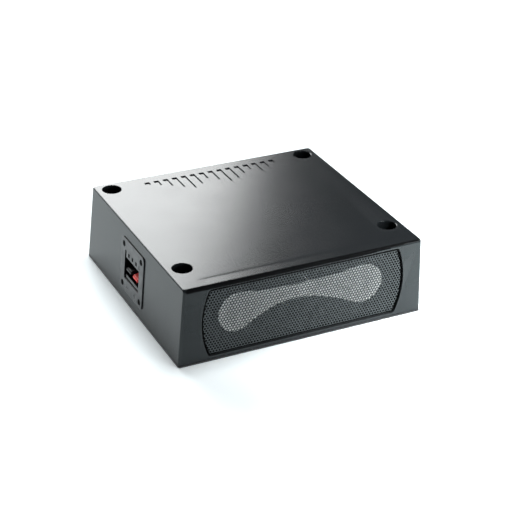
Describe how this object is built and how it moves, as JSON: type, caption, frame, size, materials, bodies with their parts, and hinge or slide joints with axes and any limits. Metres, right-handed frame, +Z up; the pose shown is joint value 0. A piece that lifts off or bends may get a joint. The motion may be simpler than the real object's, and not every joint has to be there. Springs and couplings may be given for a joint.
{
  "type": "car subwoofer",
  "caption": "Low drafted car subwoofer box with a bowed perforated front grille, racetrack woofer, push terminal, corner bolt bores and recessed rear panel.",
  "frame": {"origin": "centre of the bottom face", "axes": "+X to the right seen from the grille, +Y towards the back panel, +Z up"},
  "size_m": [0.2573, 0.2336, 0.08],
  "materials": {
    "cabinet_paint": "satin dark metallic",
    "base_paint": "satin black",
    "grille_paint": "satin dark grey",
    "foam_black": "matte foam",
    "rubber_black": "matte",
    "basket_black": "powder coated",
    "cone_black": "matte",
    "cone_pale": "glass-fibre skin, semi-gloss",
    "spider_cloth": "impregnated cloth",
    "former_alloy": "bare",
    "copper": "enamelled copper wire",
    "steel_zinc": "zinc plated",
    "ferrite": "sintered, matte",
    "screw_black": "black oxide",
    "plate_grey": "fine texture",
    "lever_black": "gloss",
    "lever_red": "gloss",
    "brass": "bright",
    "panel_black": "satin",
    "plastic_black": "satin",
    "fuse_amber": "translucent",
    "led_blue": "clear",
    "board_green": "solder mask",
    "alloy": "bare",
    "can_sleeve": "shrink sleeve"
  },
  "bodies": {
    "cabinet": {"amp_chip": "plastic_black", "base_plate": "base_paint", "base_screw_1": "steel_zinc", "base_screw_2": "steel_zinc", "base_screw_3": "steel_zinc", "base_screw_4": "steel_zinc", "blade_fuse": "fuse_amber", "cabinet_shell": "cabinet_paint", "capacitor_1": "can_sleeve", "capacitor_2": "can_sleeve", "choke_toroid": "copper", "circuit_board": "board_green", "contact_black": "brass", "contact_red": "brass", "crossover_pot": "alloy", "front_grille": "grille_paint", "fuse_holder": "plastic_black", "gain_pot": "alloy", "grille_gasket": "foam_black", "heat_sink": "alloy", "lead_strip": "board_green", "lever_spring_black": "steel_zinc", "lever_spring_red": "steel_zinc", "line_jack_left": "brass", "line_jack_right": "brass", "motor_top_plate": "steel_zinc", "motor_yoke": "steel_zinc", "phase_switch_body": "alloy", "power_inlet": "plastic_black", "power_led": "led_blue", "rear_panel": "panel_black", "rear_screw_1": "screw_black", "rear_screw_2": "screw_black", "rear_screw_3": "screw_black", "rear_screw_4": "screw_black", "ring_magnet": "ferrite", "terminal_axle": "steel_zinc", "terminal_cup": "plate_grey", "terminal_screw_1": "screw_black", "terminal_screw_2": "screw_black", "terminal_screw_3": "screw_black", "terminal_screw_4": "screw_black", "woofer_frame": "basket_black", "woofer_screw_1": "steel_zinc", "woofer_screw_2": "steel_zinc", "woofer_screw_3": "steel_zinc", "woofer_screw_4": "steel_zinc", "woofer_spider": "spider_cloth", "woofer_surround": "rubber_black"},
    "cone": {"woofer_diaphragm": "cone_black", "diaphragm_skin": "cone_pale", "dust_cap": "cone_black", "coil_former": "former_alloy", "voice_coil": "copper"},
    "black_lever": {"lever_black": "lever_black"},
    "red_lever": {"lever_red": "lever_red"},
    "gain": {"gain_knob": "plastic_black"},
    "crossover": {"crossover_knob": "plastic_black"},
    "phase": {"phase_slider": "plastic_black"}
  },
  "joints": [
    {"name": "cone_stroke", "type": "slide", "parent": "cabinet", "child": "cone", "axis": [0, -1, 0], "range_m": [-0.004, 0.004], "stiffness_N_per_m": 1900, "deforming": ["woofer_surround", "woofer_spider"]},
    {"name": "black_lever_press", "type": "hinge", "parent": "cabinet", "child": "black_lever", "pos_m": [-0.11499, 0.00735, 0.0391], "axis": [0, -1, 0], "range_deg": [0, 20], "stiffness_Nm_per_rad": 0.05, "springref_deg": -20.05, "deforming": ["lever_spring_black"]},
    {"name": "red_lever_press", "type": "hinge", "parent": "cabinet", "child": "red_lever", "pos_m": [-0.11499, -0.00895, 0.0391], "axis": [0, -1, 0], "range_deg": [0, 20], "stiffness_Nm_per_rad": 0.05, "springref_deg": -20.05, "deforming": ["lever_spring_red"]},
    {"name": "gain_turn", "type": "hinge", "parent": "cabinet", "child": "gain", "pos_m": [-0.046, 0.1122, 0.03987], "axis": [0, 0.998, 0.0636], "range_deg": [-135, 135]},
    {"name": "crossover_turn", "type": "hinge", "parent": "cabinet", "child": "crossover", "pos_m": [-0.064, 0.1122, 0.03987], "axis": [0, 0.998, 0.0636], "range_deg": [-135, 135]},
    {"name": "phase_switch", "type": "slide", "parent": "cabinet", "child": "phase", "axis": [-1, 0, 0], "range_m": [0, 0.0024]}
  ]
}
